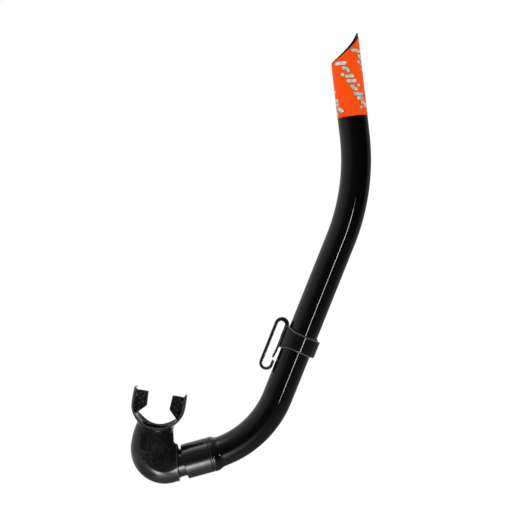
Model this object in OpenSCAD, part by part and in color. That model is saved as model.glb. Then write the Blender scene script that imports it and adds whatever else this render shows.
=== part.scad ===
// Snorkel tube: a bent breathing tube with a slanted open tip, a soft
// mouthpiece that swivels on a rigid coupling, and a strap keeper that
// slides and turns on the tube's long straight run.
// The bends lie in the XZ plane, +Z is up, and the origin is the centre of
// the keeper's strap slot.

/* [Barrel] */
// Outside diameter of the barrel
tube_d = 27; // [26.6:0.1:27.4]
// Wall thickness of the barrel
tube_wall = 2; // [1.9:0.05:2.1]
// Centreline radius of the lower bend
low_bend_r = 85.7; // [82:0.1:90]
// Length of the long straight run
run_len = 151; // [145:0.5:160]
// Centreline radius of the upper bend
top_bend_r = 190.8; // [180:0.1:200]
// Length of the top run, from the upper bend to the tip
tip_len = 89.9; // [88:0.1:95]
// Radius of the scooped cut across the tip
tip_cut_r = 78.5; // [76:0.5:82]

/* [Angles] */
// Angle of the swivel axis above level
joint_angle = 15.3; // [14:0.1:17]
// Angle of the long run above level
run_angle = 68.13; // [67:0.01:70]
// Angle of the top run above level
top_angle = 96.63; // [95.5:0.01:97.5]

/* [Reflective band] */
// Start of the band, measured up the top run
band_from = 15.9; // [14:0.1:18]
// Thickness of the band's film
film_t = 0.18; // [0.18:0.01:0.2]
// Width of the strokes of the silver marks
mark_w = 3; // [2.8:0.1:3.1]

/* [Coupling] */
// Diameter of the coupling's grip
grip_d = 31.1; // [30.8:0.1:31.4]
// Length of the coupling, from the joint face to the mouthpiece shoulder
grip_len = 25.9; // [25:0.1:27]
// Diameter of the spigot inside the mouthpiece
spigot_d = 25.5; // [25.3:0.1:25.6]
// Length of the spigot beyond the shoulder
spigot_len = 17.2; // [17:0.1:18]
// Width of the joint ring
ring_w = 1.5; // [1.3:0.1:1.7]

/* [Mouthpiece] */
// Diameter of the mouthpiece's cuff
cuff_d = 31.8; // [31.6:0.1:32.2]
// Outside radius of the lip guard's arch
guard_r = 24.4; // [24:0.1:25]
// Thickness of the lip guard
guard_t = 2.7; // [2.4:0.1:3]
// Height of the lip guard
guard_h = 30; // [28:0.5:32]
// Length of the lip guard's arms beyond the arch
arm_len = 12; // [10:0.5:13]
// Thickness of the bite tabs
bite_t = 4.6; // [4:0.1:5.5]

/* [Strap keeper] */
// Distance of the keeper's ring up the long run
keeper_at = 52.9; // [45:0.1:60]
// Width of the keeper's ring
keeper_w = 16; // [15:0.5:17]
// Diameter of the keeper's ring
keeper_d = 34.4; // [34.2:0.1:34.6]
// Thickness of the hook, measured across the slot
hook_t = 2.7; // [2.4:0.1:2.9]
// Depth of the hook, along the strap
hook_depth = 7; // [6:0.5:9]
// Opening of the strap slot
slot_w = 6.85; // [6.4:0.05:7.2]

/* [Hidden] */
$fn = 96;

gap = 0.05;                       // clearance between pieces
tube_r = tube_d / 2;
bore_r = tube_r - tube_wall;
grip_r = grip_d / 2;
spigot_r = spigot_d / 2;

// A heading is an angle in the XZ plane, from +X towards +Z.
function ahead(heading) = [cos(heading), 0, sin(heading)];
function left(heading) = [-sin(heading), 0, cos(heading)];

// barrel centreline, from the joint face to the start of the top run
joint = [0, 0, 0];
lead = 0.5;                       // straight length before the lower bend
low_bend_c = joint + lead * ahead(joint_angle) + low_bend_r * left(joint_angle);
run_start = low_bend_c - low_bend_r * left(run_angle);
run_end = run_start + run_len * ahead(run_angle);
top_bend_c = run_end + top_bend_r * left(run_angle);
top_start = top_bend_c - top_bend_r * left(top_angle);

// scooped cuts across the tip and across the film below it
tip_peak = top_start + tip_len * ahead(top_angle) - tube_r * left(top_angle);
tip_cut_slope = 27.9;             // from the peak up to the cut's centre
tip_cut_c = tip_peak + tip_cut_r * [-cos(tip_cut_slope), 0, sin(tip_cut_slope)];
film_cut_r = tip_cut_r + 12.5;
film_cut_c = tip_cut_c + 12.9 * ahead(top_angle) + 3.2 * left(top_angle);

// film and the rebate under it
rebate_r = tube_r - 0.2;
film_gap = 0.02;
film_r = rebate_r + film_gap;

// tail of the coupling, which plugs into the barrel
tail_r = 12.3;
tail_len = 6;
socket_r = tail_r + gap;

// o-ring and its groove in the tail
groove_z = 1.9;
groove_w = 1.5;
groove_floor_r = 11.1;
o_ring_r = 0.58;                  // radius of its section

// spigot and its retaining bead, along the swivel axis
spigot_end = -grip_len - spigot_len;
bead_z = -grip_len - 14.6;
bead_w = 2.6;
bead_rise = 0.65;

// mouthpiece
cuff_end = -42;                   // far end of the cuff, on the swivel axis
rim_z = -31.3;                    // rim's place on the swivel axis
rim_angle = 5;
elbow_c = [-42.7, 0, 4.1];
elbow_bend_r = 14.6;
passage_r = 10.9;
neck_base = [-53.3, 0, -8];
arch_c = [-48.5, 0, 44.0];        // centre of the lip guard's arch
arch_tilt = 10;

// right-hand bite tab in the arch's frame: [x across the arch, z along its arms]
tab_points = [
    [22.9, 10.4], [11.4, 10.2], [10.9, 9.6], [10.2, -1.9],
    [10.4, -2.7], [18.6, -11], [22.9, -4]];

// keeper: x towards the hook, z up the run
liner_t = 1.1;
liner_r = tube_r + liner_t;
slot_x0 = 17.4;
slot_x1 = slot_x0 + slot_w;
slot_x = (slot_x0 + slot_x1) / 2;
slot_z = (-32 + 11.3) / 2;        // midway between the slot's ends
keeper_c = run_start + keeper_at * ahead(run_angle);
slot_c = keeper_c + slot_x * left(run_angle) + slot_z * ahead(run_angle);

// silver marks, one diagonal row
bars = [[0.2, 19.6, 9], [0.6, 6.2, 8], [0, 1.7, 9.4],           // [x, y, length]
        [-0.2, -11.2, 9.4], [-0.6, -15.3, 6.6]];
bar_turn = 62;
arcs = [[-2.9, 11, -20, 4.6], [2.7, -2.8, 160, 4.6],            // [x, y, turn, radius]
        [-3.2, -22.8, -20, 4.4]];
dots = [[-3.6, 10.3], [3.9, -4.6], [-4, -22.4]];
dot_d = 3;
row_turn = 24;
rows = [[10, 45], [82, 55], [190, 43], [260, 42]];   // [turn about the barrel, height]

// moves pieces drawn from the joint face so that the slot's centre is the origin
module placed() translate(-slot_c) children();

// child's z axis points along a heading, starting at a point
module along(point, heading) translate(point) rotate([0, 90 - heading, 0]) children();
module on_swivel() along(joint, joint_angle) children();
module on_top_run() along(top_start, top_angle) children();
module in_arch() translate(arch_c) rotate([0, arch_tilt, 0]) children();

// cylinder or cone that stands at height z
module disc(z, h, r, top_r = undef)
    translate([0, 0, z]) cylinder(h = h, r1 = r, r2 = is_undef(top_r) ? r : top_r);

// disc with 45 degree bevels of the given sizes at its ends
module bevelled_disc(z, h, r, low, high) translate([0, 0, z]) {
    disc(0, low, r - low, r);
    disc(low, h - low - high, r);
    disc(h - high, high, r, r - high);
}

// oval column; its middle block stops short of the end centres by inset
module oval_column(spread, r, h, inset = 0) {
    half = spread - inset;
    for (side = [-1, 1])
        translate([side * spread, 0, 0]) cylinder(h = h, r = r);
    translate([-half, -r, 0]) cube([2 * half, 2 * r, h]);
}

// left turn from one heading to another; the child is the section, with x
// measured from the bend's centre
module bend(centre, from, to)
    translate(centre) rotate([90, 0, 0]) rotate([0, 0, from - 90])
        rotate_extrude(angle = to - from) children();

// solid that follows the centreline, from start before the joint face to end
// up the top run; the straight lengths lap over the slightly thinner bends
module swept(r, start, end) {
    lap = 0.5;
    bent_r = r - 0.01;
    on_swivel() disc(-start, lead + start + lap, r);
    bend(low_bend_c, joint_angle, run_angle) translate([low_bend_r, 0]) circle(bent_r);
    along(run_start, run_angle) disc(-lap, run_len + 2 * lap, r);
    bend(top_bend_c, run_angle, top_angle) translate([top_bend_r, 0]) circle(bent_r);
    on_top_run() disc(-lap, end + lap, r);
}

// cutter for a scooped cut
module scoop(centre, r)
    translate(centre) rotate([90, 0, 0]) cylinder(h = 60, r = r, center = true, $fn = 240);

module barrel() color([0.03, 0.03, 0.035]) placed() difference() {
    union() {
        swept(tube_r, 0, band_from);
        // bell that meets the coupling
        on_swivel() disc(0, 7.6, grip_r, tube_r - 0.35);
        // tip, rebated for the film and cut on a slant
        difference() {
            on_top_run() disc(band_from - 1, tip_len - band_from + 0.1, rebate_r);
            scoop(tip_cut_c, tip_cut_r);
        }
    }
    swept(bore_r, 1, tip_len + 10);
    // socket for the coupling
    on_swivel() disc(-1, 1 + tail_len + gap, socket_r);
}

// stroke with round ends
module dash(length, w) {
    square([w, length - w], center = true);
    for (side = [-1, 1])
        translate([0, side * (length - w) / 2]) circle(d = w);
}

// quarter of a ring, r to the middle of its stroke
module quarter_ring(r, w) intersection() {
    difference() {
        circle(r + w / 2);
        circle(r - w / 2);
    }
    square(r + w);
}

// one row of marks, with strokes and dots widened by grow
module mark_row(grow) {
    w = mark_w + grow;
    for (bar = bars)
        translate([bar[0], bar[1]]) rotate(bar_turn) dash(bar[2] + grow, w);
    for (arc = arcs)
        translate([arc[0], arc[1]]) rotate(arc[2]) quarter_ring(arc[3], w);
    for (dot = dots)
        translate(dot) circle(d = dot_d + grow);
}

// all rows, running outwards from below the barrel's surface
module mark_cutters(grow) {
    sink = 3;
    on_top_run() for (row = rows)
        rotate([0, 0, row[0]]) translate([0, sink - tube_r, row[1]]) rotate([90, 0, 0])
            linear_extrude(height = 13.2) rotate(row_turn) mark_row(grow);
}

// film sleeve without its marks
module film() difference() {
    on_top_run() disc(band_from + film_gap, tip_len, film_r + film_t);
    on_top_run() cylinder(h = 2 * tip_len, r = film_r);
    scoop(film_cut_c, film_cut_r);
}

module reflective_band() color([0.98, 0.3, 0.05]) placed() difference() {
    film();
    mark_cutters(0.06);
}

module silver_marks() color([0.76, 0.74, 0.66]) placed() intersection() {
    film();
    mark_cutters(0);
}

module coupling() color([0.05, 0.05, 0.055]) placed() on_swivel() {
    root_z = -4;                  // where the waist and tail start
    tail_taper = 0.6;
    difference() {
        union() {
            // spigot with its retaining bead
            disc(spigot_end, 1, spigot_r - 0.8, spigot_r);
            disc(spigot_end + 1, spigot_len, spigot_r);
            disc(bead_z, 1, spigot_r, spigot_r + bead_rise);
            disc(bead_z + 1, bead_w - 1, spigot_r + bead_rise);
            // grip
            bevelled_disc(-grip_len, grip_len - ring_w - 0.6, grip_r, 0.6, 0.5);
            // waist behind the joint ring
            disc(root_z, -root_z - ring_w - gap, grip_r - 0.8);
            // tail that plugs into the barrel
            disc(root_z, tail_len - tail_taper - root_z, tail_r);
            disc(tail_len - tail_taper, tail_taper, tail_r, tail_r - 0.5);
        }
        // bore
        disc(-60, 80, 10.2);
        // groove for the o-ring
        translate([0, 0, groove_z]) difference() {
            cylinder(h = groove_w, r = 14);
            disc(-1, 4, groove_floor_r);
        }
    }
}

module joint_ring() color([0.1, 0.1, 0.11]) placed() on_swivel()
    translate([0, 0, -ring_w]) difference() {
        bevelled_disc(0, ring_w - gap, grip_r + 0.15, 0.4, 0.35);
        disc(-1, 5, socket_r);
    }

module o_ring() color([0.02, 0.02, 0.02]) placed() on_swivel()
    translate([0, 0, groove_z + groove_w / 2]) rotate_extrude()
        translate([groove_floor_r + gap + o_ring_r, 0]) circle(o_ring_r, $fn = 32);

// cuff, elbow and neck
module mouthpiece_tube() difference() {
    union() {
        on_swivel() disc(cuff_end, 20, cuff_d / 2);
        // elbow, kept to one side of its bend's axis
        bend(elbow_c, 250, 360 + joint_angle) intersection() {
            translate([elbow_bend_r, 0]) circle(cuff_d / 2 + 0.1);
            translate([0, -30]) square([60, 60]);
        }
        translate(neck_base) oval_column(4.3, 13.2, 40);
    }
    // the neck stops at the lip guard
    translate(arch_c) rotate([90, 0, 0])
        cylinder(h = 80, r = guard_r - guard_t + 0.6, center = true);
    // the cuff ends at a slanted rim
    on_swivel() translate([0, 0, rim_z]) rotate([0, joint_angle - rim_angle, 0])
        translate([-30, -30, 0]) cube([60, 60, 30]);
}

// arch with two arms, oval when seen along the arms
module lip_guard() in_arch() intersection() {
    union() {
        rotate([90, 0, 0]) rotate([0, 0, 180]) rotate_extrude(angle = 180)
            translate([guard_r - guard_t, -guard_h / 2]) square([guard_t, guard_h]);
        for (side = [-1, 1])
            translate([side * (guard_r - guard_t / 2), 0, arm_len / 2])
                cube([guard_t, guard_h, arm_len], center = true);
    }
    translate([0, 0, -40])
        oval_column(guard_r + 0.2 - guard_h / 2, guard_h / 2, 80, inset = 0.2);
}

module bite_tabs() in_arch() for (side = [-1, 1])
    rotate([90, 0, 0]) translate([0, 0, -bite_t / 2]) linear_extrude(height = bite_t)
        polygon([for (point = tab_points) [side * point[0], point[1]]]);

module mouthpiece() color([0.1, 0.1, 0.105]) placed() {
    bead_play = 0.3;              // room at each end of the bead
    difference() {
        union() {
            mouthpiece_tube();
            lip_guard();
            bite_tabs();
        }
        // bore and groove that hold the spigot
        on_swivel() disc(spigot_end - 0.5, 40, spigot_r + gap);
        on_swivel()
            disc(bead_z - bead_play, bead_w + 2 * bead_play, spigot_r + bead_rise + 0.1);
        // air passage round the elbow and out between the lips
        bend(elbow_c, 266, 360 + joint_angle)
            translate([elbow_bend_r, 0]) circle(passage_r);
        in_arch() translate([0, 0, -41]) oval_column(5, 7, 30);
    }
}

module keeper_liner() color([0.09, 0.09, 0.09]) placed() along(keeper_c, run_angle)
    translate([0, 0, -keeper_w / 2 + 0.6]) difference() {
        cylinder(h = keeper_w - 1.2, r = liner_r);
        disc(-1, keeper_w + 2, tube_r + gap);
    }

// outline of the hook, x towards the hook and y up the run
module hook_outline() {
    top_y = 8.5;                  // centre of the top loop's outside
    top_in_y = 8;                 // centre of the top loop's inside
    top_shift = 0.3;              // outside's shift towards the barrel
    low_x = 20.75;                // centre of the lower loop
    low_y = -28.4;
    low_r = 6.2;
    low_in_r = 3.75;
    bridge = [3.3, 6.6];
    // outer leg
    translate([slot_x1, low_y]) square([hook_t, top_y - low_y]);
    // top loop
    intersection() {
        difference() {
            translate([slot_x - top_shift, top_y]) circle(slot_w / 2 + hook_t + top_shift);
            translate([slot_x, top_in_y]) circle(slot_w / 2);
        }
        translate([0, top_in_y]) square([40, 20]);
    }
    // bridge from the top loop to the ring
    translate([slot_x0 - bridge[0], 2]) square(bridge);
    // lower loop and its short return
    translate([low_x, low_y]) intersection() {
        difference() {
            circle(low_r);
            circle(low_in_r);
        }
        translate([-10, -10]) square([20, 10]);
    }
    translate([low_x - low_r, low_y]) square([low_r - low_in_r, 4.4]);
    // inner prong
    polygon([[16.1, -21.7], [18.3, -21.9], [slot_x0, -8], [slot_x0, 4], [15.2, 4], [15, -8]]);
}

module strap_keeper() color([0.05, 0.05, 0.055]) placed() along(keeper_c, run_angle) {
    pad_z = -11;
    pad_w = 11;
    pad_h = 20.4;
    difference() {
        union() {
            bevelled_disc(-keeper_w / 2, keeper_w, keeper_d / 2, 1, 1);
            // the ring is longer where it carries the hook
            intersection() {
                disc(pad_z, pad_h, keeper_d / 2);
                translate([-22, -pad_w / 2, pad_z]) cube([12, pad_w, pad_h]);
            }
            rotate([0, 0, 180]) translate([0, hook_depth / 2, 0]) rotate([90, 0, 0])
                linear_extrude(height = hook_depth) hook_outline();
        }
        disc(-40, 80, liner_r + gap);
    }
}

barrel();
reflective_band();
silver_marks();
coupling();
joint_ring();
o_ring();
mouthpiece();
keeper_liner();
strap_keeper();
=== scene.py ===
"""Snorkel: barrel with film and marks, coupling, strap keeper and mouthpiece.

Lengths are millimetres in the tube frame: the tube bends in the XZ plane, +X is right, +Z up
and -Y faces the camera. Zero is the middle of the joint face between coupling and barrel.
Headings are degrees from +X towards +Z. `build` moves meshes to the row frame, whose origin is
the middle of the keeper's slot, and turns them into metres.
"""

import math

import bpy
import numpy as np
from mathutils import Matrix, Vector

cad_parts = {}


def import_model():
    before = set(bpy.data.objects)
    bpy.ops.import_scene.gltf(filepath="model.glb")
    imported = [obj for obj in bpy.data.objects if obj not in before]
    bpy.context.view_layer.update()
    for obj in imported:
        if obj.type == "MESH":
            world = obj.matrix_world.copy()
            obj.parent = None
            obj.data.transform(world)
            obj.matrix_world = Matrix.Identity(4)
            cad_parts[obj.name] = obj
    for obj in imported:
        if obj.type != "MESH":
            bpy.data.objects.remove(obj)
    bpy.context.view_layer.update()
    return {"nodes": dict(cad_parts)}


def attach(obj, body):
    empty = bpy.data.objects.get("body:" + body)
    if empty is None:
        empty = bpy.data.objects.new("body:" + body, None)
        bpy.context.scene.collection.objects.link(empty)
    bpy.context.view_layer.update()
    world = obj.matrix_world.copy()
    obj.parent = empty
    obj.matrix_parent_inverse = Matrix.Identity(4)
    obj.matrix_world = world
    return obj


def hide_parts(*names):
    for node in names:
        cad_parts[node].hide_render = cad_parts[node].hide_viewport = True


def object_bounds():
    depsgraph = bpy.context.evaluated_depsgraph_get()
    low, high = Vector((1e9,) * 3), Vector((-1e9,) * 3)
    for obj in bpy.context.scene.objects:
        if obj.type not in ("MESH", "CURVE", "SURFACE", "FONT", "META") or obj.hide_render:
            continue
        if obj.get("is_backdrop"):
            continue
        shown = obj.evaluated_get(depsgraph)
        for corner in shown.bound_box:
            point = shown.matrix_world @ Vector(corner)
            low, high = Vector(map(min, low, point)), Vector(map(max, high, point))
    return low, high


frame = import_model()

# ---------------------------------------------------------------- dimensions

TUBE_R, BORE_R = 13.5, 11.5
# centreline, from the joint up: lead, low bend, straight run, top bend, tip
LEAD, LOW_BEND_R, RUN_LEN, TOP_BEND_R, TIP_LEN = 0.5, 85.7, 151.0, 190.8, 89.9
JOINT_DEG, RUN_DEG, TIP_DEG = 15.3, 68.13, 96.63
FILM_FROM = 15.9  # film's lower edge above the start of the tip
CUT_R = 78.5  # scooped cut of the tip
GRIP_R, GRIP_LEN = 15.55, 25.9  # thick part of the coupling
RING_UP = 52.9  # keeper ring's middle above the start of the run
SLOT_IN, SLOT_W = 17.4, 6.85  # slot's near side from the ring's axis, and its width
SLOT_LOW, SLOT_HIGH = -32, 11.3  # slot's ends along the run


def rad(degrees):
    return math.radians(degrees)


def ahead(heading):
    return np.array([math.cos(rad(heading)), math.sin(rad(heading))])


def left(heading):
    return np.array([-math.sin(rad(heading)), math.cos(rad(heading))])


# landmarks (x, z)
JOINT = np.zeros(2)
LOW_START = JOINT + LEAD * ahead(JOINT_DEG)
LOW_CENTRE = LOW_START + LOW_BEND_R * left(JOINT_DEG)
RUN_START = LOW_CENTRE - LOW_BEND_R * left(RUN_DEG)
TOP_START = RUN_START + RUN_LEN * ahead(RUN_DEG)
TOP_CENTRE = TOP_START + TOP_BEND_R * left(RUN_DEG)
TIP_START = TOP_CENTRE - TOP_BEND_R * left(TIP_DEG)
TIP = TIP_START + TIP_LEN * ahead(TIP_DEG) - TUBE_R * left(TIP_DEG)
CUT_CENTRE = TIP + CUT_R * np.array([-math.cos(rad(27.9)), math.sin(rad(27.9))])
FILM_CENTRE = CUT_CENTRE + 12.9 * ahead(TIP_DEG) + 3.2 * left(TIP_DEG)
FILM_CUT_R = CUT_R + 12.5
RING_CENTRE = RUN_START + RING_UP * ahead(RUN_DEG)
SLOT_CENTRE = (RING_CENTRE + (SLOT_IN + SLOT_W / 2) * left(RUN_DEG)
               + (SLOT_LOW + SLOT_HIGH) / 2 * ahead(RUN_DEG))
ELBOW_CENTRE = np.array([-42.7, 4.1])
ARCH_CENTRE = np.array([-48.5, 44.0])
JOINT_DIR, JOINT_LEFT = ahead(JOINT_DEG), left(JOINT_DEG)

# distances along the centreline where its sections start
LOW_AT = LEAD
RUN_AT = LOW_AT + LOW_BEND_R * rad(RUN_DEG - JOINT_DEG)
TOP_AT = RUN_AT + RUN_LEN
TIP_AT = TOP_AT + TOP_BEND_R * rad(TIP_DEG - RUN_DEG)


# ---------------------------------------------------------------- mesh tools

def to_row(verts):
    verts = np.array(verts, float)
    verts[:, 0] -= SLOT_CENTRE[0]
    verts[:, 2] -= SLOT_CENTRE[1]
    return verts / 1000


def build(name, verts, quads, body, material, replaces=(), normals=None):
    """A smooth-shaded mesh from arrays, riding on a CAD body."""
    mesh = bpy.data.meshes.new(name)
    verts = to_row(verts)
    quads = np.asarray(quads, np.int32)
    mesh.vertices.add(len(verts))
    mesh.vertices.foreach_set("co", verts.astype(np.float32).ravel())
    mesh.loops.add(quads.size)
    mesh.loops.foreach_set("vertex_index", quads.ravel())
    mesh.polygons.add(len(quads))
    mesh.polygons.foreach_set("loop_start", np.arange(len(quads), dtype=np.int32) * 4)
    mesh.polygons.foreach_set("use_smooth", np.ones(len(quads), bool))
    mesh.update(calc_edges=True)
    mesh.validate()
    if normals is not None and len(mesh.vertices) == len(normals):
        mesh.normals_split_custom_set_from_vertices(normals.tolist())
    obj = bpy.data.objects.new(name, mesh)
    bpy.context.scene.collection.objects.link(obj)
    mesh.materials.append(material)
    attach(obj, body)
    if replaces:
        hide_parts(*replaces)
    return obj


def grid_quads(m, n, wrap=True, start=0):
    """Quads over an m by n grid of vertices, closed both ways if wrapped."""
    i = np.arange(m if wrap else m - 1)
    j = np.arange(n if wrap else n - 1)
    i, j = np.meshgrid(i, j, indexing="ij")
    i2, j2 = (i + 1) % m, (j + 1) % n
    quads = np.stack([i * n + j, i * n + j2, i2 * n + j2, i2 * n + j], -1)
    return quads.reshape(-1, 4) + start


def rounded(points, radii, steps=5, support=0.16):
    """A closed profile with rounded corners, and close rows beside each so flats shade flat."""
    pts = np.array(points, float)
    n = len(pts)
    out = []
    for i in range(n):
        before, corner, after = pts[i - 1], pts[i], pts[(i + 1) % n]
        back, on = before - corner, after - corner
        back_len, on_len = np.linalg.norm(back), np.linalg.norm(on)
        back, on = back / back_len, on / on_len
        half = math.acos(float(np.clip(back @ on, -1, 1))) / 2
        radius = radii[i] if hasattr(radii, "__len__") else radii
        if radius <= 0 or half > rad(88):
            out.append(corner)
            continue
        trim = min(radius / math.tan(half), back_len * 0.45, on_len * 0.45)
        gap = min(support, back_len * 0.04 + 0.02, on_len * 0.04 + 0.02)
        first, last = corner + back * trim, corner + on * trim
        out.append(first + back * gap)
        for k in range(steps + 1):
            w = k / steps
            out.append((1 - w) ** 2 * first + 2 * w * (1 - w) * corner + w * w * last)
        out.append(last + on * gap)
    return np.array(out)


def straight(start, angle, dist):
    return start[0] + np.cos(angle) * dist, start[1] + np.sin(angle) * dist


def centreline(dist):
    """x, z and heading in radians at a distance up the barrel from the joint face."""
    dist = np.asarray(dist, float)
    joint, run, tip = rad(JOINT_DEG), rad(RUN_DEG), rad(TIP_DEG)
    within = [dist < LOW_AT, dist < RUN_AT, dist < TOP_AT, dist < TIP_AT]
    low_turn = joint + (dist - LOW_AT) / LOW_BEND_R
    top_turn = run + (dist - TOP_AT) / TOP_BEND_R
    heading = np.select(within, [joint, low_turn, run, top_turn], tip)

    def arc(centre, radius):
        return centre[0] + radius * np.sin(heading), centre[1] - radius * np.cos(heading)

    *parts, last = [
        straight(JOINT, joint, dist), arc(LOW_CENTRE, LOW_BEND_R),
        straight(RUN_START, run, dist - RUN_AT), arc(TOP_CENTRE, TOP_BEND_R),
        straight(TIP_START, tip, dist - TIP_AT),
    ]
    x, z = (np.select(within, [part[i] for part in parts], last[i]) for i in (0, 1))
    return x, z, heading


def straight_axis(point, heading):
    """The same for a straight axis through a point."""
    def axis(dist):
        angle = rad(heading)
        return *straight(point, angle, dist), np.full(dist.shape, angle)
    return axis


def loft(axis, dist, radius, angle):
    """Vertices round an axis; angle 0 is to the left of the heading, 90 degrees is +Y."""
    x, z, heading = axis(dist)
    x = x - np.sin(heading) * radius * np.cos(angle)
    z = z + np.cos(heading) * radius * np.cos(angle)
    return np.stack([x, radius * np.sin(angle), z], -1).reshape(-1, 3)


def full_turn(sides):
    return np.arange(sides) * 2 * math.pi / sides


def turned(name, axis, rows, sides, body, material, replaces):
    """A closed skin from (distance, radius) rows; each may be one value or one per side."""
    dist, radius = (
        np.stack([np.broadcast_to(np.asarray(row[i], float), (sides,)) for row in rows])
        for i in (0, 1))
    verts = loft(axis, dist, radius, np.broadcast_to(full_turn(sides), dist.shape))
    quads = grid_quads(len(rows), sides)[:, ::-1]
    return build(name, verts, quads, body, material, replaces)


# ----------------------------------------------- distance fields, below 0 inside

def smin(a, b, blend):
    h = np.clip(0.5 + 0.5 * (b - a) / blend, 0, 1)
    return b + (a - b) * h - blend * h * (1 - h)


def smax(a, b, blend):
    return -smin(-a, -b, blend)


def step(start, end, value):
    """Smooth rise from 0 at start to 1 at end; start may be the larger."""
    t = np.clip((value - start) / (end - start), 0, 1)
    return t * t * (3 - 2 * t)


def round_and(a, b, radius):
    """Where two solids overlap, with a rounded edge."""
    qa, qb = a + radius, b + radius
    corner = np.hypot(np.maximum(qa, 0), np.maximum(qb, 0))
    return corner + np.minimum(np.maximum(qa, qb), 0) - radius


def to_segment(start, edge, x, y):
    """Squared distance to a segment, and the nearest point's share of its length."""
    wx, wy = x - start[0], y - start[1]
    t = np.clip((wx * edge[0] + wy * edge[1]) / (edge @ edge), 0, 1)
    return (wx - edge[0] * t) ** 2 + (wy - edge[1] * t) ** 2, t


def polygon_distance(points, x, y):
    pts = np.array(points, float)
    best = np.full(x.shape, 1e9)
    inside = np.zeros(x.shape, bool)
    for i in range(len(pts)):
        a, b = pts[i - 1], pts[i]
        edge = b - a
        best = np.minimum(best, to_segment(a, edge, x, y)[0])
        crosses = (a[1] > y) != (b[1] > y)
        cross_x = a[0] + (y - a[1]) * edge[0] / (edge[1] if abs(edge[1]) > 1e-9 else 1e-9)
        inside ^= crosses & (x < cross_x)
    return np.where(inside, -1, 1) * np.sqrt(best)


def path_distance(points, x, y):
    """Distance to a polyline, and how far along it, from 0 to 1, the nearest point lies."""
    pts = np.array(points, float)
    lengths = np.linalg.norm(np.diff(pts, axis=0), axis=1)
    run = np.concatenate([[0], np.cumsum(lengths)])
    best = np.full(x.shape, 1e9)
    at = np.zeros(x.shape)
    for i in range(len(pts) - 1):
        squared, t = to_segment(pts[i], pts[i + 1] - pts[i], x, y)
        near = squared < best
        best = np.where(near, squared, best)
        at = np.where(near, run[i] + t * lengths[i], at)
    return np.sqrt(best), at / run[-1]


CORNERS = [(a, b, c) for a in (0, 1) for b in (0, 1) for c in (0, 1)]
EDGES = [(p, q) for p in CORNERS for q in CORNERS
         if sum(q) - sum(p) == 1 and all(b >= a for a, b in zip(p, q))]


def crossing_points(values, cells):
    """For each cell, the mean of the points where its edges cross zero, in grid units."""
    total, hits = np.zeros((len(cells), 3)), np.zeros(len(cells))
    for p, q in EDGES:
        p, q = np.array(p), np.array(q)
        at_p, at_q = values[tuple((cells + p).T)], values[tuple((cells + q).T)]
        crosses = (at_p < 0) != (at_q < 0)
        t = at_p / np.where(crosses, at_p - at_q, 1)
        total += np.where(crosses, 1, 0)[:, None] * (p + t[:, None] * (q - p))
        hits += crosses
    return cells + total / hits[:, None]


def crossing_quads(inside, index):
    """A quad round every grid edge that crosses the surface; index numbers the cells."""
    n = inside.shape
    quads = []
    for axis in range(3):
        b, c = (axis + 1) % 3, (axis + 2) % 3
        first, second = [slice(None)] * 3, [slice(None)] * 3
        first[axis], second[axis] = slice(0, n[axis] - 1), slice(1, n[axis])
        edges = np.argwhere(inside[tuple(first)] != inside[tuple(second)])
        edges = edges[(edges[:, b] > 0) & (edges[:, b] < n[b] - 1)
                      & (edges[:, c] > 0) & (edges[:, c] < n[c] - 1)]
        ring = []
        for db, dc in ((-1, -1), (0, -1), (0, 0), (-1, 0)):
            cell = edges.copy()
            cell[:, b] += db
            cell[:, c] += dc
            ring.append(index[tuple(cell.T)])
        quad = np.stack(ring, 1)
        flip = ~inside[tuple(edges.T)]
        quad[flip] = quad[flip][:, ::-1]
        quads.append(quad)
    return np.concatenate(quads)


def gradient(field, p, reach=0.04):
    grad = np.empty_like(p)
    for i in range(3):
        d = np.zeros(3)
        d[i] = reach
        grad[:, i] = (field(p + d) - field(p - d)) / (2 * reach)
    return grad


def isosurface(field, low, high, pitch):
    """Quad mesh of a field's zero surface, its vertices moved onto it, with its normals."""
    low, high = np.array(low, float), np.array(high, float)
    n = np.ceil((high - low) / pitch).astype(int) + 1
    xs, ys, zs = [low[i] + pitch * np.arange(n[i]) for i in range(3)]
    yy, zz = np.meshgrid(ys, zs, indexing="ij")
    values = np.empty(n)
    for i in range(n[0]):
        p = np.stack([np.full(yy.size, xs[i]), yy.ravel(), zz.ravel()], 1)
        values[i] = field(p).reshape(n[1], n[2])
    inside = values < 0
    count = sum(inside[tuple(slice(c[i], n[i] - 1 + c[i]) for i in range(3))].astype(np.int8)
                for c in CORNERS)
    active = (count > 0) & (count < 8)
    cells = np.argwhere(active)
    index = np.full(active.shape, -1, np.int64)
    index[active] = np.arange(len(cells))
    verts = low + pitch * crossing_points(values, cells)
    for _ in range(4):
        grad = gradient(field, verts)
        move = (field(verts) / np.maximum((grad * grad).sum(1), 0.05))[:, None] * grad
        length = np.linalg.norm(move, axis=1, keepdims=True)
        verts -= move * np.minimum(1, 0.35 * pitch / np.maximum(length, 1e-9))
    normals = gradient(field, verts)
    normals /= np.maximum(np.linalg.norm(normals, axis=1, keepdims=True), 1e-9)
    return verts, crossing_quads(inside, index), normals


# ----------------------------------------------------------------- materials
# Lengths inside materials are metres. Ramp stops are (position, grey or colour).

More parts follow.
